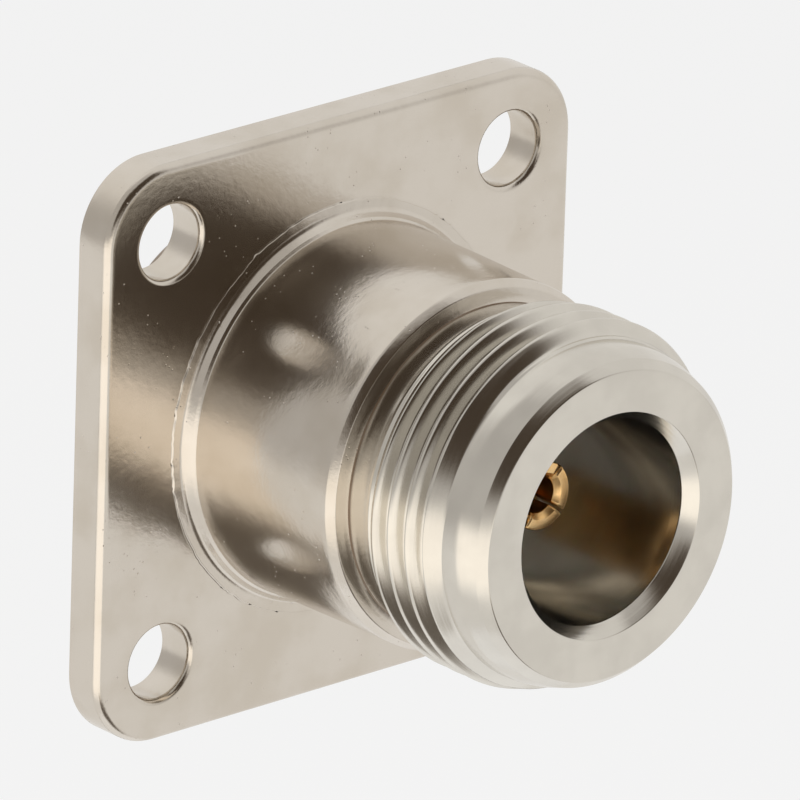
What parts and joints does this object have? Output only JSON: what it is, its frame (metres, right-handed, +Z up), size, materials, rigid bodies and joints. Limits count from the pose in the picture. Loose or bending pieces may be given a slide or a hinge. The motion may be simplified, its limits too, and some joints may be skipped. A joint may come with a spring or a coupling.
{
  "type": "n type panel connector",
  "caption": "Coaxial panel receptacle with a square flange, a threaded nose and a slotted gold socket contact; it bolts to a panel and takes a screw-on cable plug.",
  "frame": {"origin": "centre of the flange's rear (mounting) face, on the connector's axis", "axes": "-Y along the axis towards the nose, +Y into the panel, +Z up"},
  "size_m": [0.025, 0.029, 0.025],
  "materials": {
    "nickel_plate": "bright nickel plate, cast grain on the flange and boss, turned on the nose",
    "ptfe": "turned PTFE, milky white",
    "gold_plate": "satin gold plate on turned brass",
    "bush_plate": "turned, nickel plated"
  },
  "bodies": {
    "root": {"shell": "nickel_plate", "front_insulator": "ptfe", "centre_contact": "gold_plate", "rear_insulator": "ptfe", "retaining_bush": "bush_plate"}
  },
  "joints": []
}
